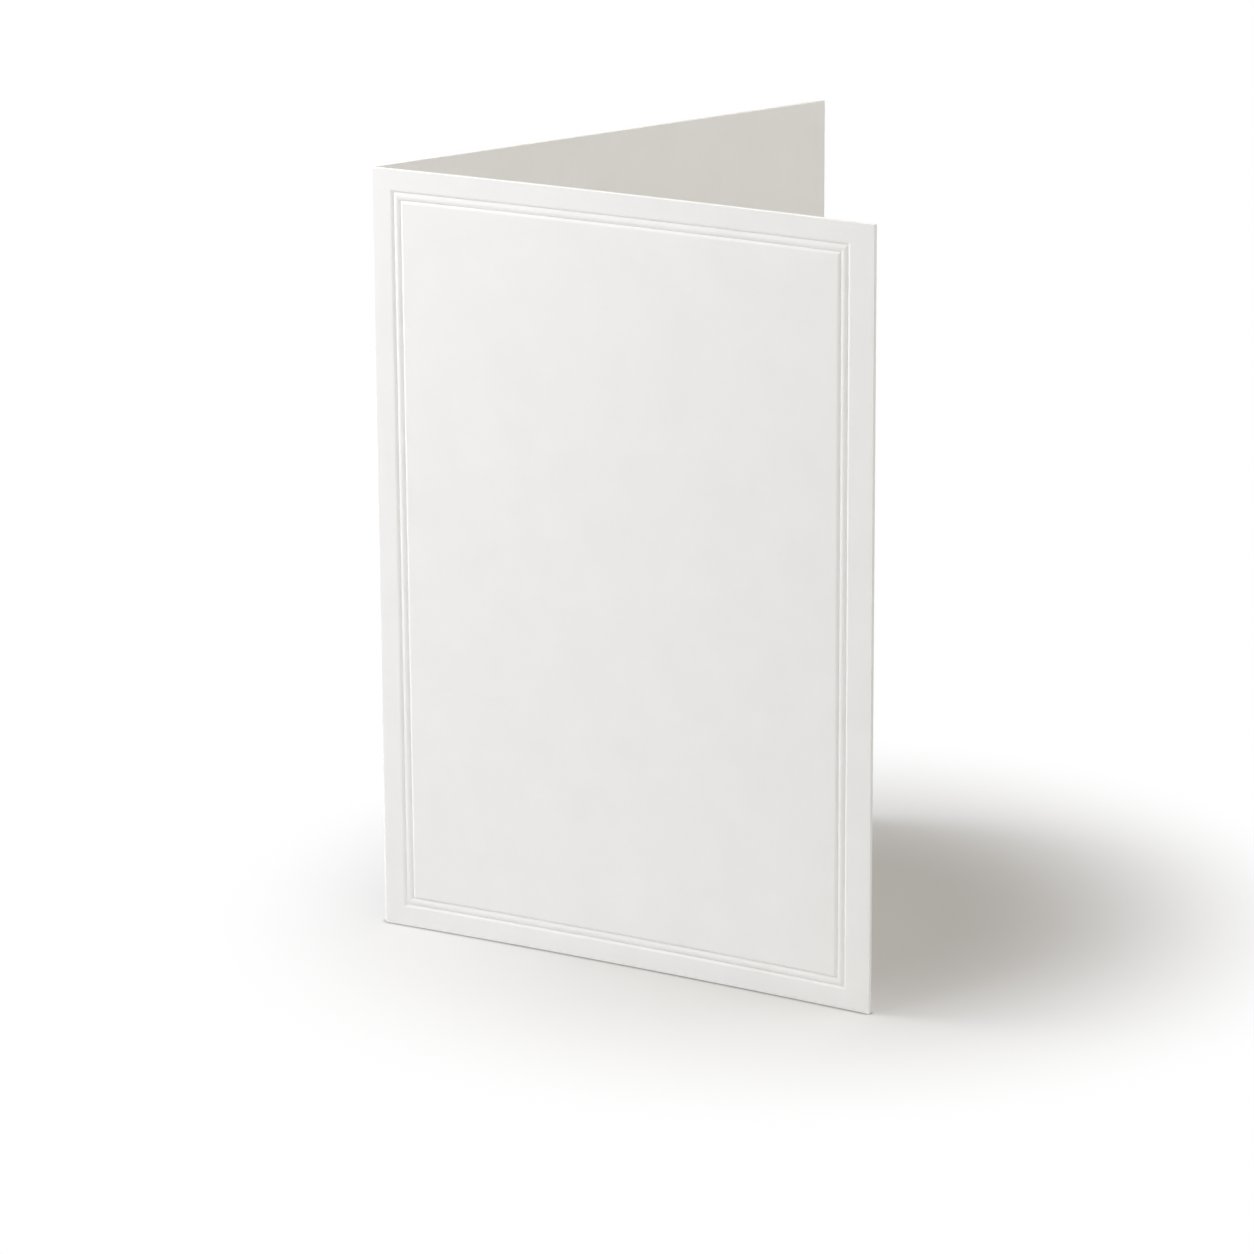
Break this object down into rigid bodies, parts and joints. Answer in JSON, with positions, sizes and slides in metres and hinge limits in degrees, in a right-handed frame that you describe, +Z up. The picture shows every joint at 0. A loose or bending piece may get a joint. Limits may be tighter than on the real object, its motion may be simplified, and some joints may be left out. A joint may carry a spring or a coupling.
{
  "type": "folded menu card",
  "caption": "Upright card of thick white board, folded once, with a pressed double-line border round its plain front panel.",
  "frame": {"origin": "on the table, under the middle of the card's box", "axes": "+Z up along the fold, -X towards the fold, +X towards the open side between the panels, -Y towards the side that the front panel faces"},
  "size_m": [0.1259, 0.1576, 0.21],
  "materials": {
    "cotton_board": "uncoated matt, very fine tooth"
  },
  "bodies": {
    "root": {"menu_card": "cotton_board"}
  },
  "joints": []
}
